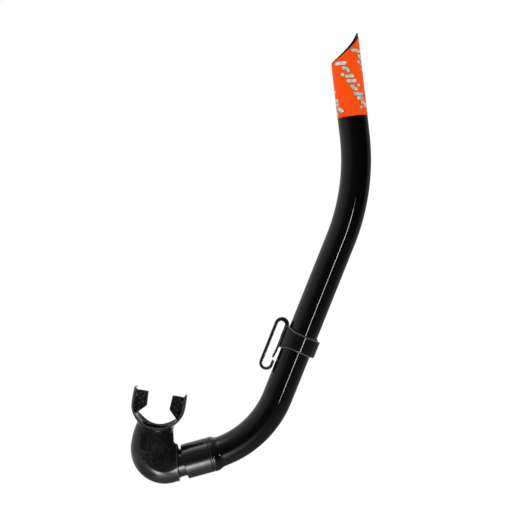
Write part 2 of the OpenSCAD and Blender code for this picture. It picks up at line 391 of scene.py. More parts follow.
class Nodes:
    """Adds nodes to a material or world."""

    def __init__(self, tree):
        self.tree = tree
        tree.nodes.clear()

    def add(self, kind, sockets=None, **properties):
        node = self.tree.nodes.new(kind)
        for key, value in properties.items():
            setattr(node, key, value)
        self.put(node, sockets or {})
        return node

    def put(self, node, sockets):
        """Link or set inputs, given by name or number."""
        for key, value in sockets.items():
            if hasattr(value, "is_output"):
                self.tree.links.new(value, node.inputs[key])
            else:
                node.inputs[key].default_value = value

    def math(self, operation, *values):
        """A math node; a lone value is paired with 0."""
        values = values if len(values) > 1 else (*values, 0.0)
        node = self.add("ShaderNodeMath", dict(enumerate(values)), operation=operation)
        return node.outputs[0]

    def noise(self, where, scale, detail=2.0, rough=0.5):
        return self.add("ShaderNodeTexNoise", {
            "Vector": where, "Scale": scale, "Detail": detail, "Roughness": rough,
        }).outputs["Fac"]

    def ramp(self, fac, stops):
        node = self.add("ShaderNodeValToRGB", {"Fac": fac})
        elements = node.color_ramp.elements
        while len(elements) > 1:
            elements.remove(elements[-1])
        for i, (position, value) in enumerate(stops):
            element = elements[0] if i == 0 else elements.new(position)
            element.position = position
            element.color = (*value, 1) if hasattr(value, "__len__") else (value,) * 3 + (1,)
        return node.outputs["Color"]

    def painted_edge_highlight(self, shade, low, high, amount, edge_highlight):
        """Painted highlight: blend towards a lighter colour where pointiness rises from low to
        high, so convex edges look lit.
        """
        point = self.add("ShaderNodeNewGeometry").outputs["Pointiness"]
        edge = self.ramp(point, [(low, 0), (high, 1)])
        fac = self.math("MULTIPLY", edge, amount)
        # inputs 6 and 7 are the colours A and B
        node = self.add("ShaderNodeMix", data_type="RGBA")
        self.put(node, {0: fac, 6: shade, 7: (*edge_highlight, 1)})
        return node.outputs[2]

    def bump(self, height, distance, strength=1.0, normal=None):
        node = self.add("ShaderNodeBump", {
            "Height": height, "Distance": distance, "Strength": strength})
        if normal is not None:
            self.put(node, {"Normal": normal})
        return node.outputs["Normal"]


def start_material(name):
    material = bpy.data.materials.new(name)
    material.use_nodes = True
    g = Nodes(material.node_tree)
    where = g.add("ShaderNodeTexCoord").outputs["Object"]
    out = g.add("ShaderNodeOutputMaterial")
    shader = g.add("ShaderNodeBsdfPrincipled")
    g.put(out, {0: shader.outputs[0]})
    return material, g, where, shader


def scaled(colour, factor):
    return [c * factor for c in colour]


def gloss_plastic(name, base, rough, grain=0.000004, ior=1.5, edge_highlight=0.0):
    """Moulded plastic: slight ripple, fine grain, uneven roughness and, if asked for, a painted
    highlight on convex edges.
    """
    material, g, where, shader = start_material(name)
    ripple = g.noise(where, scale=55.0)
    fine = g.noise(where, scale=900.0, detail=3.0, rough=0.6)
    smear = g.noise(where, scale=130.0, detail=4.0, rough=0.6)
    normal = g.bump(ripple, distance=0.000096)
    normal = g.bump(fine, distance=grain, normal=normal)
    uneven = g.math("MULTIPLY_ADD", g.math("SUBTRACT", smear, 0.5), rough * 0.9, rough)
    shade = g.ramp(smear, [(0.3, scaled(base, 0.8)), (0.7, scaled(base, 1.25))])
    # painted highlight: convex edges are lightened as if they caught the light
    if edge_highlight:
        shade = g.painted_edge_highlight(shade, low=0.51, high=0.545, amount=edge_highlight, edge_highlight=(0.2, 0.2, 0.2))
    g.put(shader, {"Base Color": shade, "Roughness": uneven, "IOR": ior, "Normal": normal})
    return material


def silicone(name, base, rough, pebble, patch=None):
    """Silicone with a pebbled grain, deep and dull only on the patch if one is given, and a
    painted highlight on its convex edges.
    """
    relief = 0.00016
    material, g, where, shader = start_material(name)
    coarse = g.noise(where, scale=620.0, detail=3.0, rough=0.55)
    fine = g.noise(where, scale=1900.0)
    cloud = g.noise(where, scale=90.0, detail=3.0, rough=0.6)
    height = g.math("MULTIPLY_ADD", fine, 0.35, coarse)
    mixed = g.math("MULTIPLY_ADD", coarse, 0.8, g.math("MULTIPLY", cloud, 0.35))
    shade = g.ramp(mixed, [(0.4, scaled(base, 0.3)), (0.56, base), (0.7, scaled(base, 3.2))])
    # painted highlight: convex edges, such as the guard's rims and the tabs' edges, are lightened
    shade = g.painted_edge_highlight(shade, low=0.515, high=0.56, amount=0.7, edge_highlight=(0.085, 0.08, 0.078))
    g.put(shader, {"Base Color": shade})
    if patch is None:
        normal = g.bump(height, relief, pebble)
        dull = g.math("MULTIPLY_ADD", coarse, 0.25, rough - 0.12)
    else:
        # off the patch the grain is faint and the surface polished
        zone = patch(g, where)
        normal = g.bump(height, relief, strength=0.1)
        g.put(normal.node, {"Strength": g.math("MULTIPLY_ADD", zone, pebble, 0.06)})
        polished = g.math("MULTIPLY_ADD", coarse, 0.05, rough - 0.05)
        dull = g.math("MULTIPLY_ADD", zone, 0.36, polished)
        g.put(shader, {"Specular IOR Level": g.math("MULTIPLY_ADD", zone, -0.57, 0.62)})
    g.put(shader, {"Roughness": dull, "Normal": normal, "IOR": 1.5})
    return material


def grained_patch(g, where):
    """1 on the grained elbow front, neck and tabs, 0 on the polished rest, from x and z."""
    x, _, z = g.add("ShaderNodeSeparateXYZ", {0: where}).outputs

    def soft(value, low, high):
        return g.add("ShaderNodeMapRange", {
            "Value": value, "From Min": low, "From Max": high,
        }, interpolation_type="SMOOTHSTEP").outputs["Result"]

    def offset(centre):
        return (g.math("SUBTRACT", x, (centre[0] - SLOT_CENTRE[0]) / 1000),
                g.math("SUBTRACT", z, (centre[1] - SLOT_CENTRE[1]) / 1000))

    def length(a, b):
        squares = g.math("ADD", g.math("MULTIPLY", a, a), g.math("MULTIPLY", b, b))
        return g.math("SQRT", squares)

    elbow_x, elbow_z = offset(ELBOW_CENTRE)
    elbow_r = length(elbow_x, elbow_z)
    tube_x = g.math("ADD", x, SLOT_CENTRE[0] / 1000)
    tube_z = g.math("ADD", z, SLOT_CENTRE[1] / 1000)

    def tube_dot(direction):
        return g.math("ADD", g.math("MULTIPLY", tube_x, float(direction[0])),
                      g.math("MULTIPLY", tube_z, float(direction[1])))

    drop = tube_dot(-JOINT_LEFT)
    along = tube_dot(JOINT_DIR)
    cuff = g.math("MAXIMUM", soft(drop, 0.0042, 0.0026), soft(along, -0.047, -0.054))
    inner = g.math("MINIMUM", soft(elbow_r, 0.0186, 0.0168), cuff)
    upper = g.math("MULTIPLY", soft(elbow_z, -0.002, 0.004), soft(elbow_x, -0.0225, -0.0195))
    low = soft(elbow_z, 0.0175, 0.0145)
    body = g.math("MULTIPLY", g.math("MAXIMUM", inner, upper), low)
    tabs = soft(length(*offset(ARCH_CENTRE)), 0.0215, 0.0205)
    return g.math("MAXIMUM", body, tabs)


def film(name):
    """Fluorescent orange film: slightly cloudy, with a faint embossed cell pattern and a faint
    painted glow.
    """
    material, g, where, shader = start_material(name)
    cloud = g.noise(where, scale=70.0, detail=3.0, rough=0.55)
    cell = g.add("ShaderNodeTexVoronoi", {"Vector": where, "Scale": 1100.0})
    shade = g.ramp(cloud, [(0.3, (0.84, 0.064, 0.0008)), (0.7, (0.90, 0.075, 0.0012))])
    g.put(shader, {
        "Base Color": shade, "Roughness": 0.33, "IOR": 1.45, "Specular IOR Level": 0.12,
        # painted glow: a faint emission lightens the orange, standing in for its fluorescence
        "Emission Color": (1.0, 0.06, 0.001, 1), "Emission Strength": 0.07,
        "Normal": g.bump(cell.outputs["Distance"], distance=0.00002, strength=0.35),
    })
    return material


def foil(name):
    """Silver foil: bright, slightly crinkled."""
    material, g, where, shader = start_material(name)
    crease = g.noise(where, scale=260.0, detail=3.0, rough=0.6)
    grain = g.noise(where, scale=1500.0)
    shade = g.ramp(crease, [
        (0.24, (0.05, 0.045, 0.035)), (0.37, (0.46, 0.44, 0.34)),
        (0.52, (0.64, 0.60, 0.48)), (0.74, (0.84, 0.82, 0.72))])
    g.put(shader, {"Base Color": shade, "Metallic": 0.1,
                   "Roughness": g.math("MULTIPLY_ADD", grain, 0.25, 0.16)})
    normal = g.bump(crease, distance=0.00022, strength=0.8)
    normal = g.bump(grain, distance=0.00003, strength=0.5, normal=normal)
    g.put(shader, {"Normal": normal})
    return material


def ink(name):
    """Dark brown ink, uneven in strength."""
    material, g, where, shader = start_material(name)
    cloud = g.noise(where, scale=320.0, detail=3.0, rough=0.55)
    shade = g.ramp(cloud, [(0.35, (0.05, 0.03, 0.02)), (0.62, (0.30, 0.09, 0.03))])
    g.put(shader, {"Base Color": shade, "Roughness": 0.4})
    return material


BARREL = gloss_plastic("barrel_black", (0.0012, 0.0011, 0.0012), rough=0.055)
COUPLING = gloss_plastic("coupling_black", (0.0055, 0.005, 0.005), rough=0.15,
                         grain=0.000006, ior=1.55)
# the keeper's rim edges get a painted highlight, lightened as if they caught the light
KEEPER = gloss_plastic("keeper_black", (0.003, 0.0028, 0.003), rough=0.07, edge_highlight=0.7)
RIM = gloss_plastic("rim_black", (0.003, 0.003, 0.003), rough=0.6, grain=0.000014, ior=1.12)
SEAM_RING = gloss_plastic("joint_ring_black", (0.012, 0.011, 0.011), rough=0.2)
SILICONE = silicone("silicone_black", (0.0046, 0.0042, 0.0043), rough=0.18, pebble=0.9,
                    patch=grained_patch)
LINER = silicone("liner_black", (0.012, 0.012, 0.012), rough=0.6, pebble=0.3)
SEAL = silicone("seal_black", (0.01, 0.01, 0.01), rough=0.45, pebble=0.15)
FILM = film("band_orange")
FOIL = foil("mark_silver")
INK = ink("mark_edge_ink")

# -------------------------------------------------------------------- barrel

FILM_DEPTH = 0.2  # how far the tip is set in under the film
# bell at the joint: distance, radius
BELL = np.array([
    (0.3, 15.6), (0.9, 15.62), (1.5, 15.6), (2.1, 15.48), (2.7, 15.25), (3.4, 14.88),
    (4.2, 14.48), (5.0, 14.13), (5.8, 13.87), (6.6, 13.69), (7.6, 13.56), (8.8, 13.51),
    (10.0, 13.5)])
# cut rim from outside to inside: radius, drop below the cut
RIM_ROWS = [
    (13.3, 0.5), (13.29, 0.34), (13.24, 0.2), (13.14, 0.1), (13.0, 0.03), (12.8, 0.0),
    (12.4, 0.0), (12.0, 0.0), (11.8, 0.03), (11.66, 0.1), (11.56, 0.22), (11.51, 0.36),
    (11.5, 0.55)]
# socket inside the joint, downwards: distance, radius
SOCKET = [(6.15, 11.5), (6.05, 11.6), (6.05, 12.2), (5.95, 12.35), (1.0, 12.35),
          (0.4, 12.35), (0.15, 12.5)]


def cut_height(centre, cut_radius, radius, angle):
    """Height up the tip where a line along it meets a scooped cut."""
    ahead_x, ahead_z = ahead(TIP_DEG)
    left_x, left_z = left(TIP_DEG)
    x = TIP_START[0] + left_x * radius * np.cos(angle) - centre[0]
    z = TIP_START[1] + left_z * radius * np.cos(angle) - centre[1]
    b = x * ahead_x + z * ahead_z
    c = x * x + z * z - cut_radius * cut_radius
    return -b - np.sqrt(np.maximum(b * b - c, 0))


def barrel():
    sides = 160
    angle = full_turn(sides)
    tip_r = TUBE_R - FILM_DEPTH
    film_at = TIP_AT + FILM_FROM

    def rim(radius):
        """Height of the scooped rim, whose highest point is blunt."""
        height = cut_height(CUT_CENTRE, CUT_R, radius, angle)
        from_peak = TUBE_R + radius * np.cos(angle)
        height = height + 2.4 * np.exp(-(from_peak / 4.5) ** 2)
        return smin(height, np.full(sides, TIP_LEN - 0.3), 1.6)

    # joint face and bell
    rows = [(0.0, 12.9), (0.0, 14.9), (0.0, 15.2)]
    for k in range(5):
        a = rad(90 * k / 4)
        rows.append((0.3 - 0.3 * math.cos(a), 15.3 + 0.3 * math.sin(a)))
    for dist in np.concatenate([np.arange(0.5, 2.9, 0.3), np.arange(3.1, 10.1, 0.45)]):
        rows.append((dist, np.interp(dist, BELL[:, 0], BELL[:, 1])))
    # up to the film, and the small step under its edge
    rows += [(dist, TUBE_R) for dist in np.linspace(11, film_at - 0.4, 170)]
    rows += [(film_at - 0.12, TUBE_R), (film_at - 0.04, TUBE_R - 0.02),
             (film_at, TUBE_R - 0.09), (film_at + 0.02, tip_r)]
    # under the film and over the rim
    top = rim(tip_r)
    for w in np.linspace(0.03, 1, 30):
        rows.append((film_at + w * (top - 0.75 - FILM_FROM), tip_r))
    rim_from = len(rows)
    rows += [(TIP_AT + rim(radius) - drop, radius) for radius, drop in RIM_ROWS]
    # down the bore to the socket
    inner = rim(BORE_R)
    rows += [(TIP_AT + w * (inner - 0.8), BORE_R) for w in np.linspace(1, 0, 12)[1:]]
    rows += [(dist, BORE_R) for dist in np.linspace(TIP_AT, 6.6, 90)[1:]]
    rows += SOCKET
    shell = turned("barrel_shell", centreline, rows, sides, "tube", BARREL,
                   ("barrel",))
    # the cut face of the tip is dull
    shell.data.materials.append(RIM)
    index = np.zeros(len(shell.data.polygons), np.int32)
    index[rim_from * sides:(rim_from + len(RIM_ROWS) - 1) * sides] = 1
    shell.data.polygons.foreach_set("material_index", index)


def film_sleeve():
    """Film sleeve with a thin edge all round."""
    sides = 192
    top = cut_height(FILM_CENTRE, FILM_CUT_R, TUBE_R, full_turn(sides)) - 1.5
    low = FILM_FROM + 0.02
    under = TUBE_R - 0.18
    # edge: distance from the sleeve's end, radius
    edge = [(0.0, under), (0.0, TUBE_R - 0.05), (0.02, TUBE_R - 0.012), (0.06, TUBE_R)]
    rows = [(low + gap, radius) for gap, radius in edge + [(0.2, TUBE_R)]]
    rows += [(low + 0.2 + w * (top - 0.4 - low), TUBE_R) for w in np.linspace(0.02, 1, 48)]
    rows += [(top - gap, radius) for gap, radius in reversed(edge)]
    rows = [(height + TIP_AT, radius) for height, radius in rows]
    turned("reflective_film", centreline, rows, sides, "tube", FILM,
           ("reflective_band",))


barrel()
film_sleeve()

# --------------------------------------------------------------------- marks

MARK_W = 3.0
# x, y and length
BAR_MARKS = [(0.2, 19.6, 9.0), (0.6, 6.2, 8.0), (0.0, 1.7, 9.4), (-0.2, -11.2, 9.4),
             (-0.6, -15.3, 6.6)]
# x and y of the centre, turn in degrees, radius
ARC_MARKS = [(-2.9, 11.0, -20, 4.6), (2.7, -2.8, 160, 4.6), (-3.2, -22.8, -20, 4.4)]
# x and y
DOT_MARKS = [(-3.6, 10.3), (3.9, -4.6), (-4.0, -22.4)]
# groups of marks: degrees round from -Y, height up the tip
MARK_GROUPS = [(10, 45), (82, 55), (190, 43), (260, 42)]
GROUP_TURN = 24
# a stroke's section: place across in half widths, share of its lift
SECTION = np.array([(-1, 0), (-0.93, 0.6), (-0.8, 1), (-0.4, 1), (0, 1), (0.4, 1),
                    (0.8, 1), (0.93, 0.6), (1, 0)])


def ribbon(points, square_ends, grow):
    """A stroke along a line, as a grid of u, v and share of lift."""
    pts = np.array(points, float)
    lengths = np.linalg.norm(np.diff(pts, axis=0), axis=1)
    run = np.concatenate([[0], np.cumsum(lengths)])
    total = run[-1]
    half_w = MARK_W / 2 + grow
    over, corner = (grow, 0.35) if square_ends else (half_w, half_w)
    t = np.linspace(0, 1, 21)
    first, last = -over + corner, total + over - corner
    at = np.concatenate([
        -over + corner * (1 - np.cos(t[:-1] * math.pi / 2)),
        np.linspace(first, last, max(6, int(total / 0.7))),
        total + over - corner * (1 - np.sin(t[1:] * math.pi / 2))])
    off = np.maximum(0, np.maximum(first - at, at - last)) / corner
    half = half_w - corner + corner * np.sqrt(np.maximum(1 - off * off, 0.0004))
    on_line = np.clip(at, 0, total)
    middles = (run[:-1] + run[1:]) / 2
    x, y = (np.interp(on_line, run, pts[:, i]) for i in (0, 1))
    dx, dy = (np.interp(on_line, middles, np.diff(pts[:, i]) / lengths) for i in (0, 1))
    norm = np.hypot(dx, dy)
    dx, dy = dx / norm, dy / norm
    past = at - on_line
    across, lift = SECTION.T
    u = x[:, None] + dx[:, None] * past[:, None] - dy[:, None] * half[:, None] * across
    v = y[:, None] + dy[:, None] * past[:, None] + dx[:, None] * half[:, None] * across
    return u, v, np.outer(1 - step(0.85, 1.0, off), lift)


def bar(length):
    k = (length - MARK_W) / 2
    return [(0, -k), (0, -k / 2), (0, 0), (0, k / 2), (0, k)]


def quarter(radius):
    return [(radius * math.cos(a), radius * math.sin(a)) for a in np.linspace(0, math.pi / 2, 13)]


def turn(points, degrees, dx=0.0, dy=0.0):
    c, s = math.cos(rad(degrees)), math.sin(rad(degrees))
    return [(c * x - s * y + dx, s * x + c * y + dy) for x, y in points]


# points, square ends
STROKES = [(turn(bar(length), 62, x, y), False) for x, y, length in BAR_MARKS]
STROKES += [(turn(quarter(radius), a, x, y), True) for x, y, a, radius in ARC_MARKS]
STROKES += [([(x, y - 0.02), (x, y + 0.02)], False) for x, y in DOT_MARKS]


def marks(name, grow, base_r, lift, material, replaces=()):
    """Strokes wrapped round the film; those that cross its slanted end stop there."""
    verts, quads, start = [], [], 0
    for round_deg, up in MARK_GROUPS:
        for points, square_ends in STROKES:
            u, v, share = ribbon(turn(points, GROUP_TURN), square_ends, grow)
            phi = np.arcsin(np.clip(u / TUBE_R, -0.99, 0.99)) + rad(round_deg)
            angle = -math.pi / 2 - phi
            top = cut_height(FILM_CENTRE, FILM_CUT_R, TUBE_R, angle) - 1.75
            height = np.clip(up + v, FILM_FROM + 0.25, top)
            verts.append(loft(centreline, height + TIP_AT, base_r + lift * share, angle))
            quads.append(grid_quads(*u.shape, wrap=False, start=start))
            start += u.size
    build(name, np.concatenate(verts), np.concatenate(quads), "tube", material, replaces)


marks("mark_edges", grow=0.34, base_r=TUBE_R + 0.004, lift=0.012,
      material=INK)
marks("foil_marks", grow=0.0, base_r=TUBE_R + 0.02, lift=0.05,
      material=FOIL, replaces=("silver_marks",))

# ------------------------------------------------------------------ coupling

# distance, radius, corner radius
COUPLING_PROFILE = [
    (-43.1, 10.2, 0.2), (-43.1, 11.9, 0.3), (-42.1, 12.75, 0.3), (-40.5, 12.75, 0.15),
    (-39.5, 13.4, 0.3), (-37.9, 13.4, 0.3), (-37.9, 12.75, 0.1), (-32.6, 12.75, 0.1),
    (-32.0, 12.35, 0.2), (-GRIP_LEN, 12.35, 0.35), (-GRIP_LEN, GRIP_R, 0.75),
    (-2.05, GRIP_R, 0.45), (-1.95, 14.75, 0.12), (-1.56, 14.75, 0.08), (-1.56, 12.3, 0.08),
    (1.9, 12.3, 0.1), (1.9, 11.1, 0.1), (3.4, 11.1, 0.1), (3.4, 12.3, 0.1),
    (5.4, 12.3, 0.2), (6.0, 11.8, 0.2), (6.0, 10.2, 0.2)]
SEAM_PROFILE = [(-1.5, 12.35, 0.05), (-1.5, 15.72, 0.42), (-0.05, 15.72, 0.42),
                (-0.05, 12.35, 0.05)]


def revolve(name, axis, profile, body, material, replaces):
    rows = rounded([entry[:2] for entry in profile], [entry[2] for entry in profile])
    turned(name, axis, rows, 144, body, material, (replaces,))


joint_axis = straight_axis(JOINT, JOINT_DEG)
revolve("coupling_body", joint_axis, COUPLING_PROFILE, "tube", COUPLING,
        "coupling")
revolve("seam_ring", joint_axis, SEAM_PROFILE, "tube", SEAM_RING,
        "joint_ring")
o_ring = frame["nodes"]["o_ring"]
o_ring.data.materials.clear()
o_ring.data.materials.append(SEAL)

# -------------------------------------------------------------------- keeper
# In its own frame: x towards the hook, z up the run, origin in the ring.

LINER_PROFILE = [(-7.4, 13.55, 0.25), (-7.4, 14.6, 0.25), (7.4, 14.6, 0.25),
                 (7.4, 13.55, 0.25)]
revolve("grip_liner", straight_axis(RING_CENTRE, RUN_DEG), LINER_PROFILE, "liner",
        LINER, "keeper_liner")

RING_MID_R, RING_HALF = 15.93, 1.27


def hook_arc(z, start, end, count):
    return [(20.7 + 4.95 * math.cos(rad(a)), z + 4.95 * math.sin(rad(a)))
            for a in np.linspace(start, end, count)]


# centrelines of the bent bar and of the straight one inside it: x, z
HOOK = (
    [(16.1, -1.0), (16.0, 4.5), (15.85, 7.6)]
    + hook_arc(8.3, 178, 90, 11)
    + hook_arc(8.3, 90, 0, 11)[1:]
    + [(25.62, 0.0), (25.6, -14.0), (25.6, -28.4)]
    + hook_arc(-28.4, 0, -180, 22)[1:]
    + [(15.75, -26.6), (15.78, -24.9)]
)
PRONG = [(16.35, 3.0), (16.35, -8.0), (16.6, -14.0), (17.15, -21.0)]


def keeper_field(p):
    x, y, z = p.T
    rho = np.hypot(x, y)
    # ring, taller towards the hook
    top = 7.0 + 0.04 * x + 2.0 * step(5.5, 16.0, x)
    low = -8.6 + 0.04 * x - 2.8 * step(5.0, 15.5, x) ** 1.3
    wall = np.abs(rho - RING_MID_R) - RING_HALF
    ring = round_and(wall, np.maximum(z - top, low - z) * 0.96, 1.05)
    # hook: rounded rectangular section, thicker over the top loop, thinner at the end
    dist, at = path_distance(HOOK, x, z)
    loop = step(0.05, 0.12, at) * (1 - step(0.2, 0.31, at))
    half = 1.5 + 0.5 * loop - 0.15 * step(0.74, 0.82, at)
    hook = round_and(dist - half, np.abs(y) - 3.5, 0.62)
    # prong: tapers downwards to a slanted end
    dist, at = path_distance(PRONG, x, z)
    prong = round_and(dist - (1.15 - 0.12 * at), np.abs(y) - 3.3, 0.5)
    slant = (z + 21.9) * 0.83 + (x - 17.2) * 0.56
    prong = smax(prong, -slant, 0.4)
    body = smin(ring, hook, 1.3)
    body = smin(body, prong, 1.1)
    # nothing reaches into the liner's space
    return smax(body, RING_MID_R - RING_HALF - rho, 0.25)


def keeper():
    verts, quads, normals = isosurface(
        keeper_field, low=(-18.4, -18.4, -36.0), high=(28.4, 18.4, 16.0), pitch=0.46)
    up, out = ahead(RUN_DEG), left(RUN_DEG)

    def to_tube(a, origin):
        x, y, z = a.T
        return np.stack([x * out[0] + z * up[0] + origin[0], -y,
                         x * out[1] + z * up[1] + origin[1]], -1)

    build("strap_keeper_clip", to_tube(verts, RING_CENTRE), quads, "keeper",
          KEEPER, ("strap_keeper",), to_tube(normals, (0, 0)))


keeper()

# ---------------------------------------------------------------- mouthpiece
# along, across: on and to the left of the joint's axis.
# side, up: arch frame, tilted 10 degrees; arch is the distance from its centre.

ELBOW_R, ELBOW_BEND_R = 16.0, 14.6
CUFF_RIM = 31.3  # the slanted rim's distance from the joint
GUARD_R = 23.05
# half outline of the bite tabs: side, up
TAB = [(22.9, 10.4), (11.4, 10.2), (10.9, 9.6), (10.2, -1.9), (10.4, -2.7), (18.6, -11.0),
       (22.9, -4.0)]
# bumps on the tabs: side, up, radius
BUMPS = [(17.9, 8.0, 1.35), (17.6, 3.2, 1.35), (17.6, -1.6, 1.35), (14.2, 5.6, 1.1),
         (14.0, 0.6, 1.1), (17.2, -6.0, 1.1)]
# raised bars on the elbow: x, z, length
BARS = [(-63.4, 5.2, 3.6), (-58.0, 4.7, 2.6), (-53.4, 4.3, 3.2), (-63.2, 1.4, 2.4),
        (-58.6, 1.0, 3.8), (-53.2, 0.5, 2.2), (-60.6, -2.6, 4.6), (-54.6, -3.2, 2.6)]


def elbow_and_cuff(y, elbow_x, elbow_z, along, across, rim):
    """A round bar bent along an arc, and a slightly tapered cuff with a lip at its rim."""
    angle = np.mod(np.degrees(np.arctan2(elbow_z, elbow_x)) + 10, 360) - 10
    angle = np.radians(np.clip(angle, 150, 270 + JOINT_DEG))
    bent = np.hypot(elbow_x - ELBOW_BEND_R * np.cos(angle),
                    elbow_z - ELBOW_BEND_R * np.sin(angle))
    elbow = np.hypot(bent, y) - ELBOW_R
    cuff = (np.hypot(across - 0.6 + 0.35 * step(-41, -31, along), y)
            - (ELBOW_R - 0.7 * step(-42.5, -28.5, along)))
    cuff = np.maximum(cuff, -(along + 41))
    cuff = cuff - 0.28 * step(-1.7, -0.9, rim) * step(-0.1, -0.5, rim)
    return np.minimum(elbow, cuff)


def neck_field(x, y, z, up, arch):
    """Flattened column that narrows upwards and ends under the arch."""
    rise = np.maximum(z - 4.8, 0)
    x_left, x_right = -73.15 + 0.0097 * rise * rise, -35.9
    depth = np.maximum(16.0 - 0.0057 * rise * rise, 11.0)
    middle, half = (x_left + x_right) / 2, (x_right - x_left) / 2
    neck = np.hypot(np.maximum(np.abs(x - middle) - (half - depth), 0), y) - depth
    neck = smax(neck, 3.0 - 11.0 * step(-71, -53, x) - z, 2.0)
    neck = smax(neck, GUARD_R - 0.45 - arch, 0.8)
    return smax(neck, up + 6.0, 2.0)


def lip_guard(y, side, up, arch):
    """Arched sheet, thinner at its edges, which are cupped towards the arch's middle."""
    outline = np.hypot(np.maximum(np.abs(side) - 9.75, 0), y) - 15.0
    cup = 2.0 * np.minimum(y / 15.0, 1.05) ** 2 * step(6.0, -18.0, up)
    bow = np.abs(arch - GUARD_R + 0.8 * step(-4.0, -17.0, up) + cup)
    legs = np.hypot(np.abs(side) - GUARD_R + cup + 0.02 * np.maximum(up, 0),
                    np.maximum(up - 12.0, 0))
    half = (1.3 - 0.35 * step(-6.0, -1.5, outline) * step(4.0, -8.0, up)
            - 0.2 * step(7.0, 12.5, up))
    return round_and(np.where(up <= 0, bow, legs) - half, outline, 0.8)


def bite_tabs(y, side, up):
    """Flat plates with a raised inner edge and small bumps."""
    side = np.abs(side)
    outline = polygon_distance(TAB, side, up)
    half = 1.9 + 0.45 * step(-2.4, -0.9, outline) * step(15.5, 12.5, side)
    for bump_side, bump_up, radius in BUMPS:
        dist = np.hypot(side - bump_side, (up - bump_up) * 1.2)
        half = half + 0.75 * np.exp(-(dist / radius) ** 4)
    return round_and(outline * 0.98, np.abs(y) - half, 0.75)


def raised_bars(x, y, z):
    """Height of the bars on the elbow's -Y side."""
    mark = np.full(x.shape, 9.0)
    for bar_x, bar_z, length in BARS:
        past = np.maximum(np.abs(x - bar_x + 0.09 * (z - bar_z)) - length / 2 + 0.5, 0)
        mark = np.minimum(mark, np.hypot(past, z - bar_z) - 0.62)
    return 0.2 * (1 - step(-0.3, 0.3, mark)) * (y < -6)


def hollow_field(y, elbow_x, elbow_z, along, across, side, up):
    """Bore for the coupling with its groove, curved air passage, slot through the guard."""
    bore = smax(np.hypot(across, y) - 12.8, -(along + GRIP_LEN + 17.7), 0.3)
    groove = smax(np.hypot(across, y) - 13.5, np.abs(along + GRIP_LEN + 13.3) - 1.6, 0.2)
    bore = np.minimum(bore, groove)
    start = -(elbow_x * -math.sin(rad(176)) + elbow_z * math.cos(rad(176)))
    end = elbow_x * JOINT_DIR[0] + elbow_z * JOINT_DIR[1]
    air = np.hypot(np.hypot(elbow_x, elbow_z) - ELBOW_BEND_R, y) - 10.9
    air = smax(smax(air, start - 0.5, 0.5), end - 1.0, 0.5)
    slot = np.hypot(np.maximum(np.abs(side) - 5, 0), y) - 7.0
    slot = np.maximum(slot, np.maximum(up + 11, -(up + 41)))
    return smin(np.minimum(bore, slot), air, 1.5)


def mouth_field(p):
    x, y, z = p.T
    elbow_x, elbow_z = x - ELBOW_CENTRE[0], z - ELBOW_CENTRE[1]
    along = x * JOINT_DIR[0] + z * JOINT_DIR[1]
    across = x * JOINT_LEFT[0] + z * JOINT_LEFT[1]
    rim = ((x + CUFF_RIM * JOINT_DIR[0]) * math.cos(rad(5))
           + (z + CUFF_RIM * JOINT_DIR[1]) * math.sin(rad(5)))
    arch_x, arch_z = x - ARCH_CENTRE[0], z - ARCH_CENTRE[1]
    side = arch_x * math.cos(rad(10)) - arch_z * math.sin(rad(10))
    up = arch_x * math.sin(rad(10)) + arch_z * math.cos(rad(10))
    arch = np.hypot(side, up)
    body = elbow_and_cuff(y, elbow_x, elbow_z, along, across, rim)
    # wider blends on the right of the neck and under the guard's right side
    body = smin(body, neck_field(x, y, z, up, arch), 0.8 + 8.2 * step(-60, -37, x))
    body = smax(body, rim, 0.9)
    blend = 1.5 + 2.9 * step(8.0, 14.0, side) * step(12.0, 8.0, np.abs(y))
    body = smin(body, lip_guard(y, side, up, arch), blend)
    body = smin(body, bite_tabs(y, side, up), 1.1)
    body = body - raised_bars(x, y, z)
    hollow = hollow_field(y, elbow_x, elbow_z, along, across, side, up)
    return smax(body, -hollow, 0.7)


def mouthpiece():
    verts, quads, normals = isosurface(
        mouth_field, low=(-77.0, -17.4, -29.0), high=(-20.0, 17.4, 62.0), pitch=0.5)
    # shading only: normals of the cuff and the elbow's start are squared to the cuff's axis
    # and lean down a little, so that the highlight runs on from the coupling's
    axis = np.array([JOINT_DIR[0], 0.0, JOINT_DIR[1]])
    axis_left = np.array([JOINT_LEFT[0], 0.0, JOINT_LEFT[1]])
    tilt = normals @ axis
    along, across = verts @ axis, verts @ axis_left
    outer = (verts[:, 1] * normals[:, 1] + across * (normals @ axis_left) > 0) & (across < 9.0)
    square = tilt * step(-56.0, -46.0, along) * step(0.8, 0.5, np.abs(tilt)) * outer
    normals -= square[:, None] * axis
    normals -= (0.06 * step(-60.0, -46.0, along) * outer)[:, None] * axis_left
    normals /= np.linalg.norm(normals, axis=1, keepdims=True)
    build("mouthpiece_skin", verts, quads, "mouth", SILICONE,
          ("mouthpiece",), normals)


mouthpiece()

# --------------------------------------------------- floor, light and camera
# in metres, row frame


def floor(half=30.0, gap=0.004):
    """Pale floor just under the object, mostly self-lit and unseen in reflections."""
    z = min(corner[2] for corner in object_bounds()) - gap
    mesh = bpy.data.meshes.new("floor")
    corners = [(-half, -half, z), (half, -half, z), (half, half, z), (-half, half, z)]
    mesh.from_pydata(corners, [], [(0, 1, 2, 3)])
    obj = bpy.data.objects.new("floor", mesh)
    bpy.context.scene.collection.objects.link(obj)
    material = bpy.data.materials.new("floor_pale")
    material.use_nodes = True
    g = Nodes(material.node_tree)
    out = g.add("ShaderNodeOutputMaterial")
    diffuse = g.add("ShaderNodeBsdfDiffuse", {"Color": (0.9, 0.9, 0.9, 1)})
    glow = g.add("ShaderNodeEmission", {"Strength": 1.03})
    mix = g.add("ShaderNodeMixShader", {0: 0.96, 1: diffuse.outputs[0], 2: glow.outputs[0]})
    g.put(out, {0: mix.outputs[0]})
    mesh.materials.append(material)
    obj.visible_glossy = False
    obj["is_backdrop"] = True


floor()

